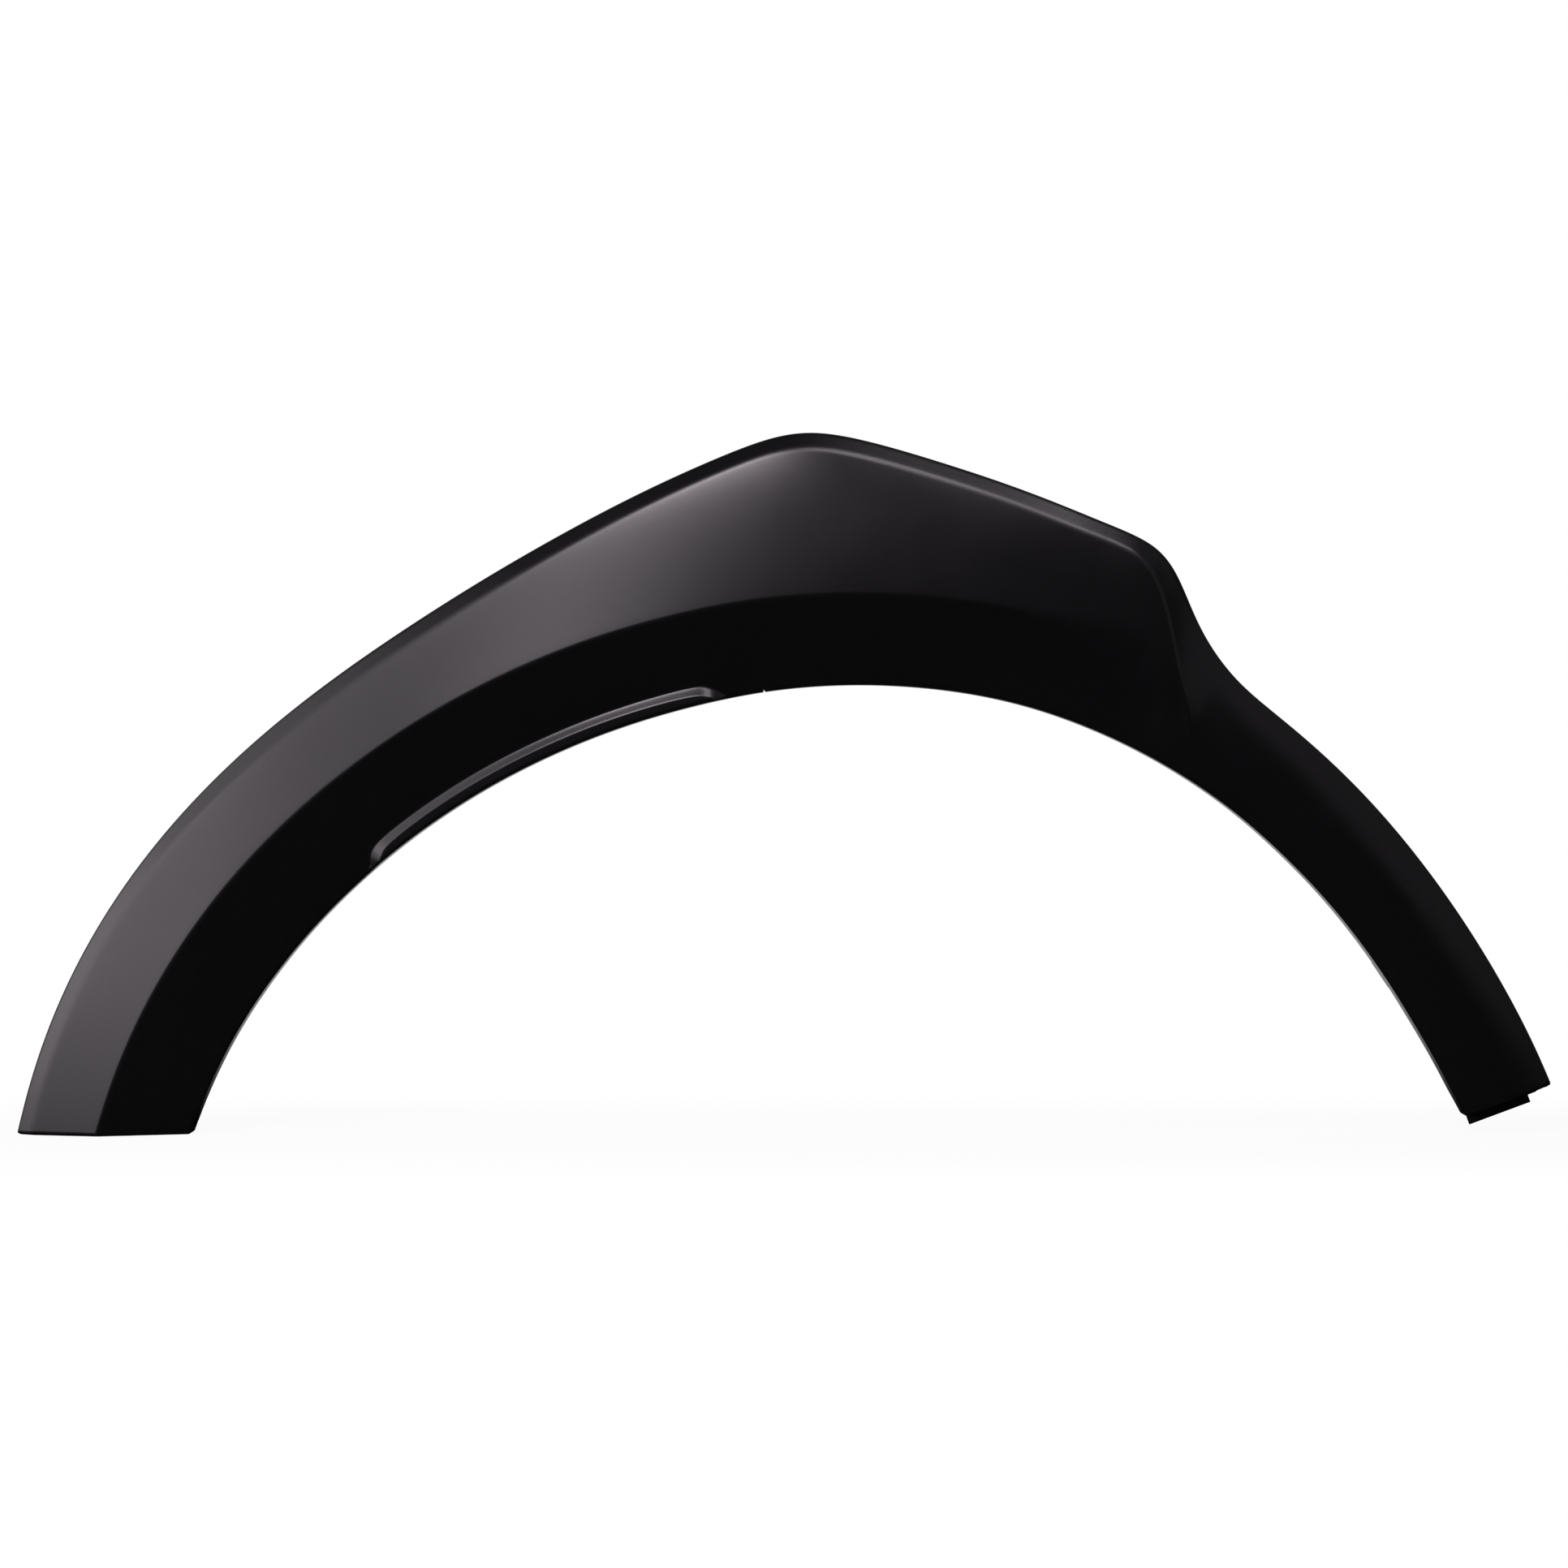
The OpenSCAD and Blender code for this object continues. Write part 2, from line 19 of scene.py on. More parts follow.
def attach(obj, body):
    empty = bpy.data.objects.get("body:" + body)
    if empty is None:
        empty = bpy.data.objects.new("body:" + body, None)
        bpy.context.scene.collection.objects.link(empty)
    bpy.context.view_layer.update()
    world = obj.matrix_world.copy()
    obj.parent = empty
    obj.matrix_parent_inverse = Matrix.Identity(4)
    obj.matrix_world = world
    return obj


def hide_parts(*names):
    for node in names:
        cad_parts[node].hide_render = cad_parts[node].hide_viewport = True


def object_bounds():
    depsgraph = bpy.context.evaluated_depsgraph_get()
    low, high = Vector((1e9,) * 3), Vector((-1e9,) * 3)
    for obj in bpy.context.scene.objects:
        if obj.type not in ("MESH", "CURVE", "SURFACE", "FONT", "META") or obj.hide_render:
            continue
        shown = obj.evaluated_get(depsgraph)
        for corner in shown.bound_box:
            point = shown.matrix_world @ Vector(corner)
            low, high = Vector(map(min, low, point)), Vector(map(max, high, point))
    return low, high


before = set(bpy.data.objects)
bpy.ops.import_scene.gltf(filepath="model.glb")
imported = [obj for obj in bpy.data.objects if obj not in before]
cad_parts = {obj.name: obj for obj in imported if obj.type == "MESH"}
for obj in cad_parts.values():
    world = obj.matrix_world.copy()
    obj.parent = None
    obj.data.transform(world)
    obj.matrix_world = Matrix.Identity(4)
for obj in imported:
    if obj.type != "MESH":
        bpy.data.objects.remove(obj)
cad_low, cad_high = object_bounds()
cad_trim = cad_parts["arch_trim"]
print("solid model from", [round(v, 4) for v in cad_low], "to", [round(v, 4) for v in cad_high])

# %% [markdown]
# ## The camera
#
# The reference picture looks straight at the trim from the side of the car. A long lens, far away,
# keeps the arch from bulging, as a product photographer would. The camera is placed by numbers:
# one picture pixel is 0.48 mm on the trim's contact plane, and the picture is 1932 pixels wide.

# %% Place the camera
PICTURE = 1932
MM_PER_PIXEL = 0.48
DISTANCE = 2.5
SENSOR = 36.0
CAMERA_X, CAMERA_Z = -0.0355, -0.1515

bpy.ops.object.select_all(action="DESELECT")
bpy.ops.object.camera_add(location=(CAMERA_X, -DISTANCE, CAMERA_Z), rotation=(math.pi / 2, 0, 0))
camera = bpy.context.object
camera.name = "camera"
camera.data.sensor_width = SENSOR
camera.data.lens = SENSOR * DISTANCE / (PICTURE * MM_PER_PIXEL / 1000)
camera.data.dof.use_dof = False
bpy.context.scene.camera = camera
print("lens", round(camera.data.lens, 1), "mm")

# %% [markdown]
# ## Colours and nodes
#
# Screen colours are written as hex values, as a paint chart gives them. Blender calculates in linear
# light, so one function turns each hex value into linear numbers. A second small function adds a
# shader node, sets its values and links its inputs, so that a material reads as a short list.


# %% Helpers for colours and nodes
def linear(hex_colour):
    """An sRGB hex colour as linear red, green, blue and full alpha."""
    parts = [int(hex_colour[i:i + 2], 16) / 255 for i in (1, 3, 5)]
    return (*[c / 12.92 if c <= 0.04045 else ((c + 0.055) / 1.055) ** 2.4 for c in parts], 1.0)


def add(tree, kind, links=(), settings=(), **values):
    """Adds a node. links are (input, from node, output), settings are its own options."""
    node = tree.nodes.new(kind)
    for name, value in dict(settings).items():
        setattr(node, name, value)
    for name, value in values.items():
        node.inputs[name.replace("_", " ")].default_value = value
    for socket, source, output in links:
        tree.links.new(source.outputs[output], node.inputs[socket])
    return node


# %% [markdown]
# ## The studio
#
# The trim stands on its sill end on a pale floor. In the picture its surroundings are pure white, so
# the world shows white to the camera, and to the reflections that look back past the trim, which
# gives the bright hairlines along its edges. In front of the trim the studio is dark: black plastic
# only shows its shape when it mirrors a lamp in one place and darkness in another. The floor follows
# the same rule. Beside the trim it keeps a trace of shadow, and it turns pure white well before its
# edges, so that no horizon shows.

# %% A pale floor
FLOOR_Z = cad_low.z
FLOOR_Y = 0.6
FLOOR_WIDTH, FLOOR_DEPTH = 3.2, 2.0

bpy.ops.object.select_all(action="DESELECT")
bpy.ops.mesh.primitive_plane_add(size=1, location=(0, FLOOR_Y, FLOOR_Z))
floor = bpy.context.object
floor.name = "floor"
floor.scale = (FLOOR_WIDTH, FLOOR_DEPTH, 1)
bpy.ops.object.transform_apply(location=True, rotation=False, scale=True)
print("floor at", round(FLOOR_Z, 4))

# %% White paper that keeps a trace of shadow
paper = bpy.data.materials.new("matt white paper sweep")
paper.use_nodes = True
tree = paper.node_tree
tree.nodes.clear()
place = add(tree, "ShaderNodeTexCoord")
parts = add(tree, "ShaderNodeSeparateXYZ", [("Vector", place, "Object")])
seen = add(tree, "ShaderNodeLightPath")
off = add(tree, "ShaderNodeMath", [(0, parts, "Y")], {"operation": "ABSOLUTE"})
plain = add(tree, "ShaderNodeMapRange", [("Value", off, 0)], {"interpolation_type": "SMOOTHSTEP"},
            From_Min=0.08, From_Max=0.34, To_Min=0.93, To_Max=1.0)
share = add(tree, "ShaderNodeMath", [(0, plain, 0), (1, seen, "Is Camera Ray")],
            {"operation": "MULTIPLY"})
own = add(tree, "ShaderNodeMath", [(0, share, 0), (1, seen, "Is Glossy Ray")],
          {"operation": "MAXIMUM"})
rear = add(tree, "ShaderNodeMapRange", [("Value", parts, "Y")], {"interpolation_type": "SMOOTHSTEP"},
           From_Min=0.05, From_Max=0.6, To_Min=0.0, To_Max=0.6)
level = add(tree, "ShaderNodeMath", [(0, rear, 0), (1, seen, "Is Camera Ray")],
            {"operation": "MAXIMUM"})
shade = add(tree, "ShaderNodeBsdfDiffuse", Color=linear("#f4f4f4"))
glow = add(tree, "ShaderNodeEmission", [("Strength", level, 0)], Color=(1, 1, 1, 1))
mixed = add(tree, "ShaderNodeMixShader", [("Fac", own, 0)])
tree.links.new(shade.outputs[0], mixed.inputs[1])
tree.links.new(glow.outputs[0], mixed.inputs[2])
add(tree, "ShaderNodeOutputMaterial", [("Surface", mixed, 0)])
floor.data.materials.append(paper)
print("floor in", paper.name)

# %% The world around
world = bpy.data.worlds.new("white behind and dark in front")
bpy.context.scene.world = world
world.use_nodes = True
tree = world.node_tree
tree.nodes.clear()
place = add(tree, "ShaderNodeTexCoord")
parts = add(tree, "ShaderNodeSeparateXYZ", [("Vector", place, "Generated")])
rear = add(tree, "ShaderNodeMapRange", [("Value", parts, "Y")], {"interpolation_type": "SMOOTHSTEP"},
           From_Min=0.0, From_Max=0.6, To_Min=0.0, To_Max=0.6)
seen = add(tree, "ShaderNodeLightPath")
level = add(tree, "ShaderNodeMath", [(0, rear, 0), (1, seen, "Is Camera Ray")],
            {"operation": "MAXIMUM"})
back = add(tree, "ShaderNodeBackground", [("Strength", level, 0)], Color=(1, 1, 1, 1))
add(tree, "ShaderNodeOutputWorld", [("Surface", back, 0)])
print("world", world.name)

# %% [markdown]
# ## The lamps
#
# Satin black plastic shows little but the lamps it mirrors, so where they stand decides how each
# fold looks. They could be moved about by eye. Here each has two angles, right and up from the
# camera as the trim sees them, and one distance, so that a lamp can be found again by its numbers.
# Two large softboxes on the left lay the broad sheen on the rear arm, and the small ones above the
# camera light the crown and draw the bright line along the band. Strips further over carry that
# line past the apex. All lean a little to magenta, as black does in the picture.

# %% Soft lamps
MIDDLE = Vector((-0.03, 0, -0.15))
LAMP_AWAY = 2.3
LAMP_TINT = linear("#fff5fd")[:3]


def softbox(name, right, up, width, height, power):
    """A lamp that faces the trim from so many degrees right and up of the camera, itself unseen."""
    right, up = math.radians(right), math.radians(up)
    level = math.cos(up)
    towards = Vector((math.sin(right) * level, -math.cos(right) * level, math.sin(up)))
    bpy.ops.object.light_add(type="AREA", location=MIDDLE + towards * LAMP_AWAY)
    lamp = bpy.context.object
    lamp.name = name
    lamp.rotation_euler = (-towards).to_track_quat("-Z", "Y").to_euler()
    lamp.data.shape = "RECTANGLE"
    lamp.data.size = width
    lamp.data.size_y = height
    lamp.data.energy = power
    lamp.data.color = LAMP_TINT
    lamp.visible_camera = False


softbox("broad softbox, left", -62, 24, 2.4, 1.7, 21.4)
softbox("low softbox, left", -62, 6, 2.4, 1.7, 20.8)
softbox("key softbox, above the camera", -12, 34, 0.5, 0.5, 6.9)
softbox("second key, higher and left of it", -19, 40, 0.5, 0.5, 7.2)
softbox("soft surround of the keys", -19, 28, 0.9, 1.2, 4.5)
softbox("short strip, overhead", 8, 46, 0.5, 0.35, 4.0)
softbox("strip softbox, upper right", 30, 52, 0.8, 0.35, 6.1)
softbox("weak fill, right", 48, 24, 1.5, 2.0, 1.7)

# %% [markdown]
# ## The moulding: its outline
#
# The real trim is one shot of black polypropylene, so it stays one piece here. Its shape is a
# section that travels around the wheel and changes as it goes: broad at the crown, then over a
# shoulder and down to a narrow tail. The solid model has this shape in flat facets. Light shows
# every facet on black plastic, so the lesson draws the same section again, far more finely.
#
# First comes the outline. Angles are measured at the wheel's centre, and lengths are in
# millimetres. The opening is nearly a circle, and the outer edge is a smooth curve through a cage.

# %% The outline's numbers
OPENING_R = 382.0
CENTRE_BELOW_PIN = 475.0

# Both ends, where the sections start to lean, and where the tail sweeps back towards the car.
SILL_A, TAIL_A, LEAN_A, SWEEP_A = 166.6, 19.0, 110.0, 62.0
TAIL_BACK, TAIL_LEAN, TAIL_LEAN_A = 12.0, 0.16, 25.0

# The outer edge's cage: angle, and distance out from the opening's circle.
EDGE_CAGE = np.array([
    (166.6, 120.5), (157, 122), (145.5, 117.5), (131.5, 108), (120.5, 106), (109.5, 116),
    (99.5, 136), (95, 148), (92, 151), (88.5, 144.5), (83.5, 134), (77.5, 125.5), (72, 119.5),
    (68, 119), (65.5, 101.5), (63, 81.5), (59, 65.5), (54, 62.5), (46.5, 60), (37.5, 57.5),
    (28.5, 58), (19, 62.5)])
SPANS = len(EDGE_CAGE) - 1

# How far the opening itself strays from its circle, by angle.
OPENING_LAW = [
    (19, 8), (22, 5), (30, 1), (45, 0.5), (55, 2), (67, 2.7), (75, 2.5), (85, 0.6), (95, -1),
    (105, -2.3), (115, -1), (125, 2.4), (135, 7.2), (145, 13), (155, 18.5), (163, 21.5)]


# %% Smooth curves through them
def law(table, angle):
    """A smooth curve through the rows (angle, value) of a table."""
    at, value = np.array(table, float).T
    row = np.arange(len(at))
    low, high = np.maximum(row - 1, 0), np.minimum(row + 1, len(at) - 1)
    rise = (value[high] - value[low]) / (at[high] - at[low])
    i = int(np.clip(np.searchsorted(at, angle, side="right") - 1, 0, len(at) - 2))
    h = at[i + 1] - at[i]
    x = min(max((angle - at[i]) / h, 0.0), 1.0)
    return float((2 * x**3 - 3 * x**2 + 1) * value[i] + (3 * x**2 - 2 * x**3) * value[i + 1]
                 + h * ((x**3 - 2 * x**2 + x) * rise[i] + (x**3 - x**2) * rise[i + 1]))


def outer_edge(u):
    """Angle and width at the place u on the outer edge: a cubic B-spline through the cage."""
    before, after = 2 * EDGE_CAGE[0] - EDGE_CAGE[1], 2 * EDGE_CAGE[-1] - EDGE_CAGE[-2]
    cage = np.vstack([before, EDGE_CAGE, after])
    i = min(int(u), SPANS - 1)
    t = u - i
    s = 1 - t
    pull = np.array([s**3, 3 * t**3 - 6 * t**2 + 4, 3 * s**3 - 6 * s**2 + 4, t**3]) / 6
    return pull @ cage[i:i + 4]


def turned(angle):
    """The direction at an angle, as (along the car, up)."""
    return np.array([math.cos(math.radians(angle)), math.sin(math.radians(angle))])


SILL_UP = (OPENING_R + EDGE_CAGE[0][1]) * math.sin(math.radians(SILL_A))
SILL_OPEN_A = 180 - math.degrees(math.asin(SILL_UP / (OPENING_R + law(OPENING_LAW, 163))))


def open_angle(u):
    """The angle of the opening's end of a section. Near the level sill end the sections lean."""
    angle = outer_edge(u)[0]
    sill = (SILL_A - SILL_OPEN_A) * (max(angle - LEAN_A, 0) / (SILL_A - LEAN_A))**2
    return angle - sill - TAIL_LEAN * (max(TAIL_LEAN_A - angle, 0) / (TAIL_LEAN_A - TAIL_A))**2


def section_ends(u):
    """The outer and the inner end of a section, seen from the front."""
    angle, width = outer_edge(u)
    inner = open_angle(u)
    return (OPENING_R + width) * turned(angle), (OPENING_R + law(OPENING_LAW, inner)) * turned(inner)


fine = np.linspace(0, SPANS, 4001)
fine_open = np.array([open_angle(u) for u in fine])


def place_at(angle):
    """The place u whose section meets the opening at an angle."""
    return float(np.interp(-angle, -fine_open, fine))


print("outline from", section_ends(0)[0].round(1), "to", section_ends(SPANS)[0].round(1))

# %% [markdown]
# ## The moulding: its section
#
# A section starts at the rim that rests on the wing, climbs a rolled band to the band line, crosses
# the broad upper face to the crease, and falls to the wheel opening, where it turns back as a flange.
# Each corner is a small rounding, because a mould can't have a knife edge and because the rounding
# is what catches the light. On the shoulder the crease opens out until it is gone, and the tail is
# one plain arch.

# %% The section's numbers
WALL, RIM_D, FLANGE_D, FLANGE_TIP, DRAFT = 2.8, 3.0, 18.0, 2.2, 0.3
RIM_ROUND, FOLD_ROUND, CREASE_ROUND = 1.5, 2.5, 1.9
OPENING_ROUND, END_ROUND, BACK_ROUND = 2.5, 2.0, 2.5
TAIL_D, ROLL_IN = 9.5, 0.5
CREASE_SOFT, CREASE_FADE, TAIL_FADE = 24.0, (62, 78), (57, 64)

# The crown of the upper face, by angle: how high, and at what share of the way to the crease.
FACE_LAW = [(19, 0), (68, 0), (76, 2.2), (82, 3.0), (88, 3.0), (94, 1.9), (100, 1.2), (110, 0.6),
            (120, 0.4), (130, 0.3), (166, 0.3)]
FACE_AT_LAW = [(19, 0.25), (70, 0.4), (88, 0.4), (100, 0.25), (166, 0.25)]

# The band line: how far in from the outer edge, and how deep in front of the wing.
BAND_LAW = [(19, 20), (45, 22), (52, 32), (57, 43), (60, 45), (61, 38), (64, 26.5), (67, 17),
            (68, 13.6), (70, 10.2), (75, 10.4), (80, 10), (85, 10.2), (90, 10.3), (95, 9.4),
            (105, 9.1), (112, 9.1), (120, 9.5), (128, 9.4), (138, 8.6), (166, 8.6)]
BAND_D_LAW = [(19, 8), (52, 9), (57, 11), (61, 13), (64, 13), (68, 10.5), (72, 9), (166, 9)]

# The crease: how far out from the opening's edge, and how deep.
CREASE_LAW = [(19, 22), (45, 22), (56, 17.5), (60, 17.5), (62, 28), (64, 42), (68, 50), (75, 53),
              (90, 53), (105, 53.8), (135, 54.3), (150, 54), (166, 52.8)]
CREASE_D_LAW = [(19, 8), (56, 7.5), (60, 9.5), (64, 14), (68, 16.5), (75, 18.5), (85, 20), (166, 20)]
print("sections at", TAIL_A, "to", SILL_A, "degrees")

# %% The pad's numbers
# The raised pad on the opening: the angles of its two ends and their slant, its width and step.
PAD_REAR_A, PAD_FRONT_A, PAD_END_A = 136.0, 100.2, 47.0
PAD_W, PAD_STEP, PAD_RISE = 11.6, 4.3, 3.5
PAD_D, PAD_CORNER, PAD_SLOPE = 9.1, 4.9, 1.4
PAD_FOOT_ROUND, PAD_TOP_ROUND, PAD_END_STEEP = 0.6, 0.15, 1.25
PAD_KNEE = 4.2

# Where the section has points on it, in from the opening's edge: close where the slope turns.
PAD_ROWS = np.concatenate([
    [14, 13.2], np.arange(12.6, 10.3, -0.3), np.arange(10.2, 7.5, -0.6), np.arange(7.2, 2.9, -0.3)])
print("pad from", PAD_FRONT_A, "to", PAD_REAR_A, "degrees")


# %% Shaping functions
def ease(x):
    """A smooth step from 0 to 1."""
    x = min(max(x, 0.0), 1.0)
    return x * x * (3 - 2 * x)


def bow(a, corner, b, steps):
    """A curve from a to b that is pulled towards a corner, ends included."""
    t = np.linspace(0, 1, steps + 1)[:, None]
    return (1 - t)**2 * a + 2 * t * (1 - t) * corner + t * t * b


def bend(before, corner, after, length, steps):
    """Rounds the corner between two straight parts of a section."""
    to_before, to_after = before - corner, after - corner
    a = corner + to_before / np.linalg.norm(to_before) * length
    b = corner + to_after / np.linalg.norm(to_after) * length
    return bow(a, corner, b, steps)


def between(a, b, steps):
    """Points on a straight part, without its ends."""
    t = np.arange(1, steps)[:, None] / steps
    return a * (1 - t) + b * t


def soft_max(a, b, round_off):
    """The larger of two numbers, with the turn between them rounded off."""
    return (a + b + math.sqrt((a - b)**2 + round_off**2)) / 2


def pad_lift(angle, radius, e, face):
    """How much the pad lifts the skin, e in from the opening's edge."""
    along = math.radians(min(PAD_REAR_A - angle, angle - PAD_FRONT_A)) * radius
    slant = math.radians(PAD_END_A)
    p = PAD_END_STEEP * (along * math.sin(slant) - e * math.cos(slant))
    q = PAD_W - e
    inside = (p + q - math.hypot(p - q, PAD_CORNER)) / 2
    lift = soft_max(inside * PAD_RISE / PAD_STEP, 0.0, PAD_FOOT_ROUND)
    top = max(PAD_D - face, 0.0)
    return max(-soft_max(-lift, -top, PAD_TOP_ROUND), 0.0)


# %% The wall's other side
def behind(a, b, at):
    """The point one wall behind a point of the front skin, square to the step from a to b."""
    step = (b - a) / np.linalg.norm(b - a)
    return at + WALL * np.array([step[1], -step[0]])


def rounded(points, length, steps):
    """A line of straight parts with every corner rounded."""
    made = [points[0]]
    for before, corner, after in zip(points, points[1:], points[2:]):
        room = 0.45 * min(np.linalg.norm(corner - before), np.linalg.norm(after - corner))
        reach = min(length, room)
        made.extend(bend(before, corner, after, reach, steps))
    return np.array(made + [points[-1]])


# %% One section, front and back
RIM_STEPS, BAND_STEPS, LINE_STEPS, FACE_STEPS, CREASE_STEPS = 6, 6, 8, 18, 10
LOWER_STEPS, LIP_STEPS, FLANGE_STEPS, HOLLOW_STEPS = 8, 8, 4, 3


def section(u):
    """Points (in from the outer edge, depth in front of the wing): the front, then the back."""
    angle = outer_edge(u)[0]
    outer, inner = section_ends(u)
    w, to_opening = np.linalg.norm(inner - outer), open_angle(u)
    radius = OPENING_R + law(OPENING_LAW, to_opening)
    tail = 1 - ease((angle - TAIL_FADE[0]) / (TAIL_FADE[1] - TAIL_FADE[0]))
    soft = 1 - ease((angle - CREASE_FADE[0]) / (CREASE_FADE[1] - CREASE_FADE[0]))
    rim, lip = np.array([0, RIM_D]), np.array([w, RIM_D])
    line = np.array([law(BAND_LAW, angle), law(BAND_D_LAW, angle)])
    crease = np.array([w - law(CREASE_LAW, angle), law(CREASE_D_LAW, angle)])
    crown = line + law(FACE_AT_LAW, angle) * (crease - line) + [0, law(FACE_LAW, angle)]
    room = min((crease[0] - line[0]) * 0.55, (w - PAD_ROWS[0] - crease[0]) * 0.9)
    crease_length = min(CREASE_ROUND * (1 - soft) + CREASE_SOFT * soft, room)
    line_length = min(FOLD_ROUND, (crease[0] - line[0]) * 0.35, line[0] * 0.35)

    def tailed(points):
        """Turns the body's section into the tail's plain arch."""
        x = points[:, 0] / w
        arch = RIM_D + (TAIL_D - RIM_D) * 4 * x * (1 - x)
        return np.column_stack([points[:, 0], points[:, 1] + tail * (arch - points[:, 1])])

    def face(e):
        """The lower face without its pad, e in from the opening's edge."""
        depth = crease[1] + (RIM_D - crease[1]) * (w - e - crease[0]) / (w - crease[0])
        return np.column_stack([w - e, depth])

    # The front, from the rim to the flange.
    rim_bend = bend(np.array([0.0, 0.0]), rim, line, RIM_ROUND, RIM_STEPS)
    line_bend = bend(rim, line, crown, line_length, LINE_STEPS)
    crease_bend = bend(crown, crease, lip, crease_length, CREASE_STEPS)
    plain = face(PAD_ROWS)
    band = tailed(between(rim_bend[-1], line_bend[0], BAND_STEPS))
    upper = tailed(bow(line_bend[-1], crown, crease_bend[0], FACE_STEPS)[1:-1])
    lower = tailed(between(crease_bend[-1], plain[0], LOWER_STEPS))
    line_bend, crease_bend, pad = tailed(line_bend), tailed(crease_bend), tailed(plain)
    pad[:, 1] += [pad_lift(to_opening, radius, e, depth) for e, depth in zip(PAD_ROWS, pad[:, 1])]
    edge = lip + [0, pad_lift(to_opening, radius, 0, RIM_D)]
    end = np.array([w - DRAFT, -FLANGE_D])
    lip_bend = bend(pad[-1], edge, end, OPENING_ROUND, LIP_STEPS)
    flange = between(lip_bend[-1], end, FLANGE_STEPS)
    front = np.vstack([[(DRAFT, 0)], rim_bend, band, line_bend, upper, crease_bend, lower, pad,
                       lip_bend, flange, [end]])

    # The hollow side, from the flange back to the rim: the middle of each part, one wall back.
    knee = np.interp(-PAD_KNEE, -PAD_ROWS, pad[:, 1])
    hollow = [
        np.array([w - DRAFT - FLANGE_TIP, -FLANGE_D]),
        np.array([w - WALL, RIM_D - WALL + max(knee - RIM_D - PAD_SLOPE, 0) / 2]),
        behind(lower[3], pad[0], pad[0]),
        behind(crease_bend[-1], pad[0], lower[3]),
        behind(crease_bend[0], crease_bend[-1], crease_bend[5]),
        behind(upper[5], upper[11], upper[8]),
        behind(line_bend[0], line_bend[-1], line_bend[4]),
        behind(band[1], band[3], band[2]),
        np.array([WALL, RIM_D - 0.6 * WALL]),
        np.array([WALL, 0])]
    return np.vstack([front, rounded(hollow, BACK_ROUND, HOLLOW_STEPS)]), w


print("points in a section", len(section(8)[0]))

# %% [markdown]
# ## The moulding: a grid becomes the skin
#
# No edit mode tool sweeps a section that changes on its way, so the surface starts as a grid
# primitive with one row for each section and one column for each point. The points are then laid on
# their sections by number. Rows stand closer where the shape turns quickly: at both ends, on the
# shoulder, and at the ends of the pad. Last, the grid's two long sides are welded together, and
# both ends are closed with a face.
#
# Just ahead of the pad the real trim has a nick in the edge of its opening, a millimetre or so
# wide. It is part of how this piece looks, so a few extra rows stand there and give it its shape.

# %% Where the sections stand
MM_PER_DEGREE = math.radians(1) * OPENING_R
SHOULDER = (12, 17)
END_ROWS = np.array([0, 0.08, 0.25, 0.5, 0.85, 1.3, 2.0, 3.2, 5, 7.5])
PAD_END_ROWS = np.arange(-1.5, 28, 0.9)
ROW_STEP = 1 / 14
CLOSEST = 0.004

# The nick: its angle, and rows of place along the edge and depth, in millimetres.
NICK_A = 97.13
NICK = np.array([(-1, 0), (-0.82, 0), (-0.3, 1.1), (-0.05, 1.6), (0.25, 1.6), (0.42, 0), (0.6, 0)])

sill_step = np.linalg.norm(section_ends(0.1)[0] - section_ends(0)[0]) * 10
tail_step = np.linalg.norm(section_ends(SPANS)[0] - section_ends(SPANS - 0.1)[0]) * 10
places = np.concatenate([
    END_ROWS / sill_step,
    SPANS - END_ROWS / tail_step,
    [place_at(PAD_REAR_A - q / MM_PER_DEGREE) for q in PAD_END_ROWS],
    [place_at(PAD_FRONT_A + q / MM_PER_DEGREE) for q in PAD_END_ROWS],
    [place_at(NICK_A + q / MM_PER_DEGREE) for q in NICK[:, 0]],
    np.arange(0.25, SPANS - 0.2, ROW_STEP),
    np.arange(SHOULDER[0] + ROW_STEP / 2, SHOULDER[1], ROW_STEP)])
places = np.sort(places)
places = places[np.concatenate([[True], np.diff(places) > CLOSEST])]
print("sections", len(places))


# %% A section in space
def roll_back(q):
    """How far the face rolls back, q from an end."""
    return 0.0 if q >= END_ROUND else END_ROUND - math.sqrt(END_ROUND**2 - (END_ROUND - q)**2)


def ring(u):
    """A whole section as points in space, in metres."""
    points, w = section(u)
    nick = np.interp((open_angle(u) - NICK_A) * MM_PER_DEGREE, NICK[:, 0], NICK[:, 1])
    points[:, 0] = np.minimum(points[:, 0], w - nick)
    outer, inner = section_ends(u)
    angle, width = outer_edge(u)
    arc = math.radians(1) * (OPENING_R + width)
    r = roll_back(max(min((SILL_A - angle) * arc, (angle - TAIL_A) * arc), 0.0))
    across = r + points[:, 0] * (w - r * (1 + ROLL_IN)) / w
    depth = points[:, 1] - r * np.clip(points[:, 1] / RIM_D, 0, 1)
    flat = outer + np.outer(across, (inner - outer) / np.linalg.norm(inner - outer))
    swept = TAIL_BACK * (max(SWEEP_A - angle, 0) / (SWEEP_A - TAIL_A))**2
    return np.column_stack([flat[:, 0], swept - depth, flat[:, 1] - CENTRE_BELOW_PIN]) / 1000


# %% Lay the grid on the sections
rings = np.array([ring(u) for u in places])
rings = np.concatenate([rings, rings[:, :1]], axis=1)
rows, columns = rings.shape[:2]
bpy.ops.object.select_all(action="DESELECT")
bpy.ops.mesh.primitive_grid_add(x_subdivisions=columns - 1, y_subdivisions=rows - 1, size=1)
trim = bpy.context.object
trim.name = trim.data.name = "arch_trim_moulding"
trim.data.vertices.foreach_set("co", rings.reshape(-1))
trim.data.update()
print("grid of", rows, "by", columns, "points")

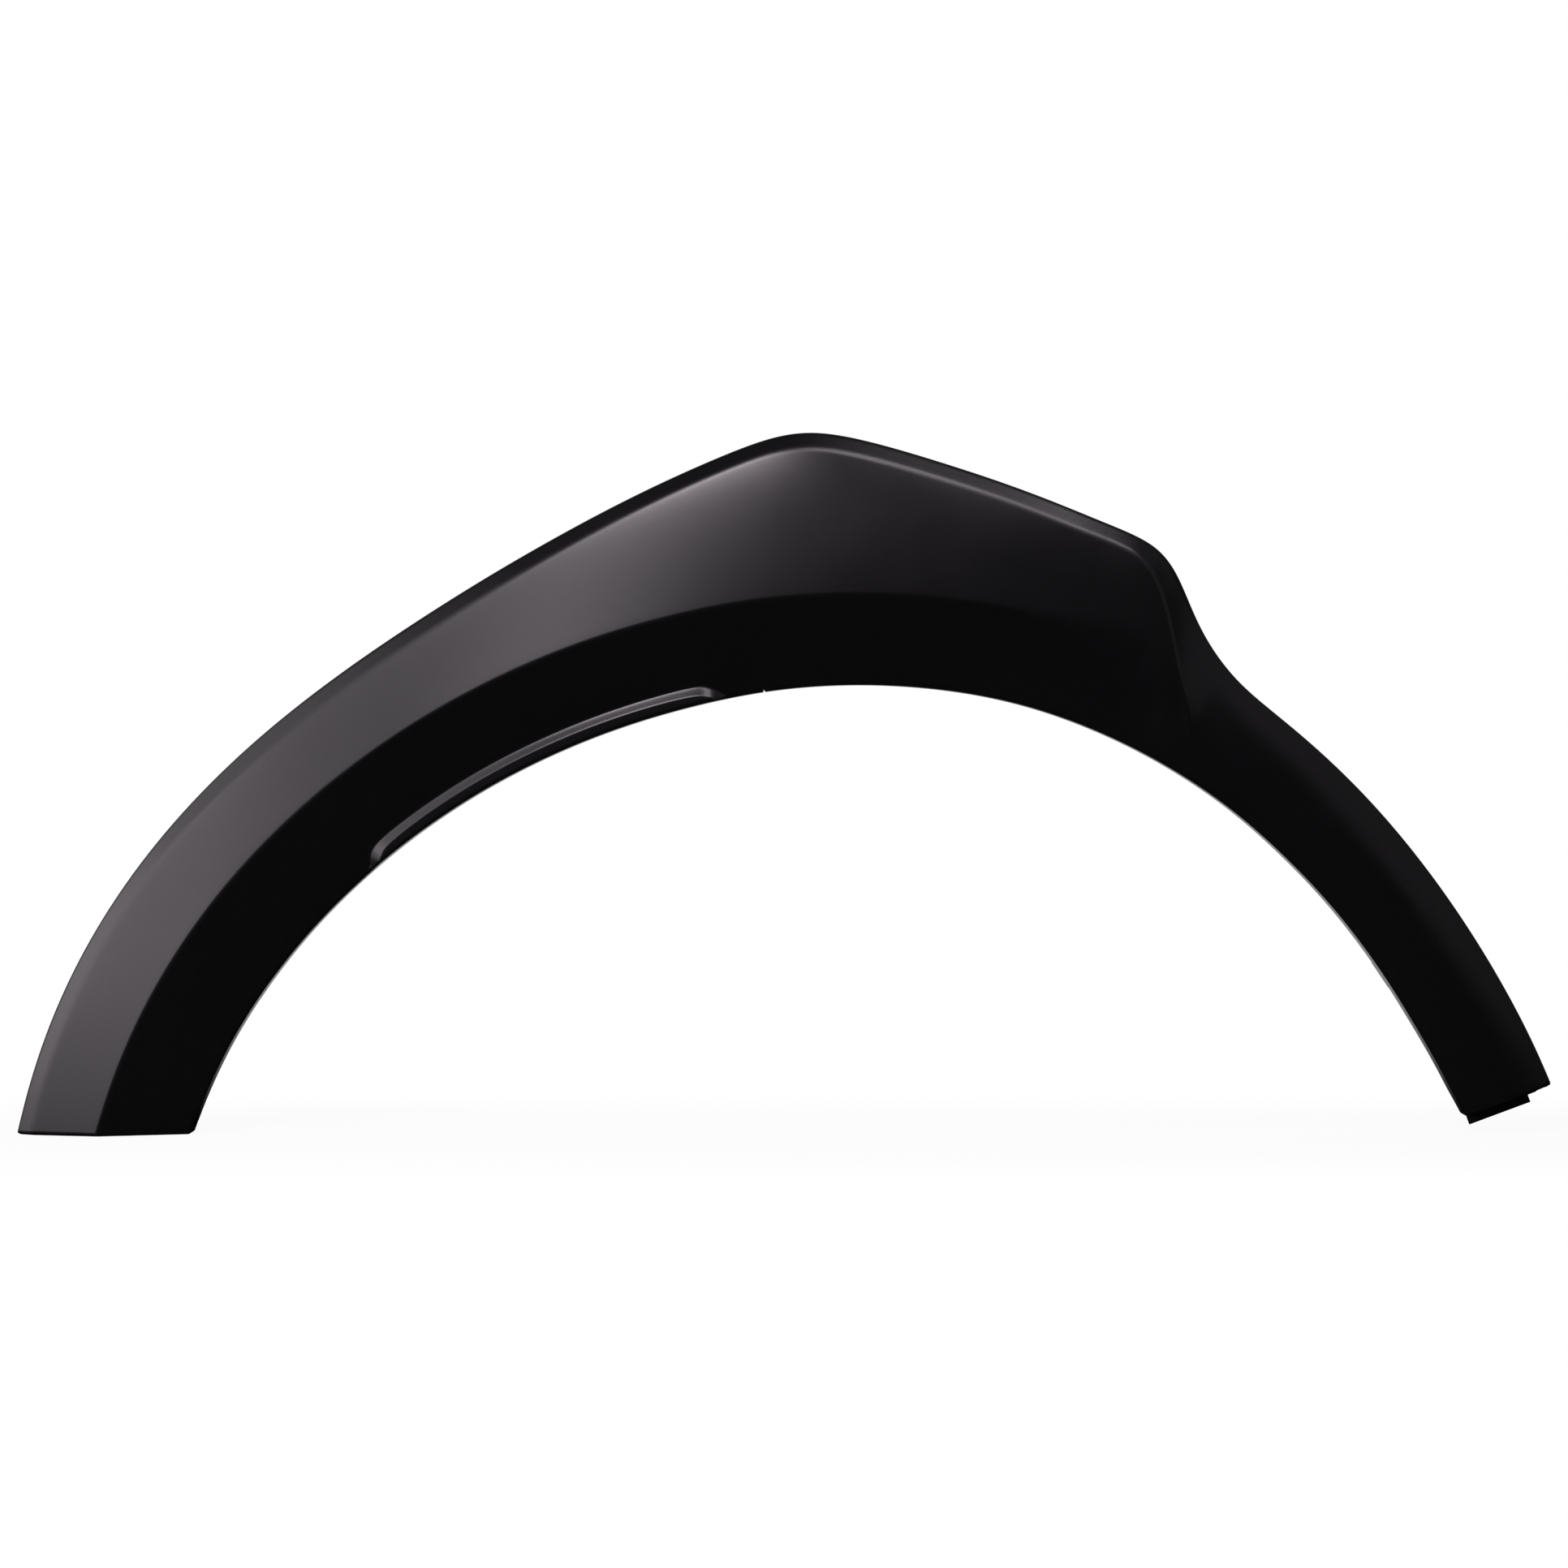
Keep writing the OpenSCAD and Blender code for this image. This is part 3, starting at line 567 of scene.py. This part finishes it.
# %% Weld the long sides and close both ends
WELD = 1e-6
bpy.ops.object.mode_set(mode="EDIT")
bpy.ops.mesh.select_all(action="SELECT")
bpy.ops.mesh.remove_doubles(threshold=WELD)
bpy.ops.mesh.select_all(action="DESELECT")
bpy.ops.mesh.select_non_manifold()
bpy.ops.mesh.edge_face_add()
bpy.ops.mesh.quads_convert_to_tris(ngon_method="CLIP")
bpy.ops.mesh.select_all(action="SELECT")
bpy.ops.mesh.normals_make_consistent(inside=False)
bpy.ops.object.mode_set(mode="OBJECT")
print("skin", len(trim.data.vertices), "points", len(trim.data.polygons), "faces")

# %% [markdown]
# ## What is moulded on behind
#
# Ribs, clip seats, screw lugs, locating pins, the end walls and the tongue under the bumper are
# plain, flat-sided forms, and the solid model already has them exactly. So they are taken from it:
# a copy is welded, all of its faces that lie on the skin are deleted, and what is left are the forms
# behind. The faces are picked in face mode, because in point mode Blender also takes every face
# whose corners are all picked, and the end walls would go. The open borders are pushed a little
# into the wall, so that no gap shows.

# %% Weld a copy of the solid model
bpy.ops.object.select_all(action="DESELECT")
fixings = cad_trim.copy()
fixings.data = cad_trim.data.copy()
fixings.name = fixings.data.name = "moulded_fixings"
bpy.context.collection.objects.link(fixings)
bpy.context.view_layer.objects.active = fixings
fixings.select_set(True)
bpy.ops.object.mode_set(mode="EDIT")
bpy.ops.mesh.select_all(action="SELECT")
bpy.ops.mesh.remove_doubles(threshold=WELD)
bpy.ops.mesh.select_all(action="DESELECT")
bpy.ops.mesh.select_mode(type="FACE")
bpy.ops.object.mode_set(mode="OBJECT")
print("faces in the copy", len(fixings.data.polygons))

# %% Delete the faces that lie on the skin
ON_SKIN = 0.001
SAME_WAY = 0.8
skin_points = [v.co for v in trim.data.vertices]
skin_tree = BVHTree.FromPolygons(skin_points, [p.vertices for p in trim.data.polygons])
off_skin = [skin_tree.find_nearest(v.co)[3] for v in fixings.data.vertices]
for face in fixings.data.polygons:
    _, normal, _, far = skin_tree.find_nearest(face.center)
    close = all(off_skin[i] < ON_SKIN for i in face.vertices) and far < ON_SKIN
    face.select = close and normal.dot(face.normal) > SAME_WAY
bpy.ops.object.mode_set(mode="EDIT")
bpy.ops.mesh.delete(type="FACE")
bpy.ops.mesh.select_mode(type="VERT")
bpy.ops.mesh.select_all(action="DESELECT")
bpy.ops.mesh.select_non_manifold()
bpy.ops.object.mode_set(mode="OBJECT")
print("faces behind", len(fixings.data.polygons))

# %% Push their borders into the wall
INTO_WALL = 0.001
pushed = 0
for point in fixings.data.vertices:
    if point.select:
        normal = skin_tree.find_nearest(point.co)[1]
        point.co = point.co - normal * INTO_WALL
        point.co.z = max(point.co.z, cad_low.z)
        pushed += 1
print("border points", pushed)

# %% Join them to the skin
SMOOTH = math.radians(32)
bpy.ops.object.select_all(action="DESELECT")
fixings.select_set(True)
trim.select_set(True)
bpy.context.view_layer.objects.active = trim
bpy.ops.object.join()
bpy.ops.object.shade_smooth_by_angle(angle=SMOOTH)
print("whole piece", len(trim.data.polygons), "faces")

# %% [markdown]
# ## Satin black polypropylene
#
# Arch trims are moulded in black polypropylene with rubber and talc in it. The mould is
# spark-eroded, which leaves a fine, even grain of pits on the part: the surface is dark, and a lamp's
# reflection spreads into a soft sheen. A noise with pits of about a quarter of a millimetre makes the
# relief, and a second, much wider one lets the gloss drift a little along the faces, as it does on
# a real moulding.

# %% Make the plastic
plastic = bpy.data.materials.new("moulded black polypropylene, spark-eroded grain")
plastic.use_nodes = True
tree = plastic.node_tree
tree.nodes.clear()
place = add(tree, "ShaderNodeTexCoord")
grain = add(tree, "ShaderNodeTexNoise", [("Vector", place, "Object")],
            Scale=1600.0, Detail=2.0, Roughness=0.6)
relief = add(tree, "ShaderNodeBump", [("Height", grain, 0)], Strength=0.06, Distance=0.0002)
cloud = add(tree, "ShaderNodeTexNoise", [("Vector", place, "Object")],
            Scale=18.0, Detail=3.0, Roughness=0.5)
gloss = add(tree, "ShaderNodeMapRange", [("Value", cloud, 0)],
            From_Min=0.3, From_Max=0.7, To_Min=0.235, To_Max=0.265)
skin = add(tree, "ShaderNodeBsdfPrincipled", [("Roughness", gloss, 0), ("Normal", relief, 0)],
           Base_Color=linear("#0c0c0d"), IOR=1.49)
add(tree, "ShaderNodeOutputMaterial", [("Surface", skin, 0)])
trim.data.materials.clear()
trim.data.materials.append(plastic)
print("finish", plastic.name)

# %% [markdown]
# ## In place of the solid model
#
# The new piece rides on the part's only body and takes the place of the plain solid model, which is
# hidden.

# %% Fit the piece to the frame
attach(trim, "root")
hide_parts("arch_trim")
bpy.context.scene.view_settings.view_transform = "Standard"
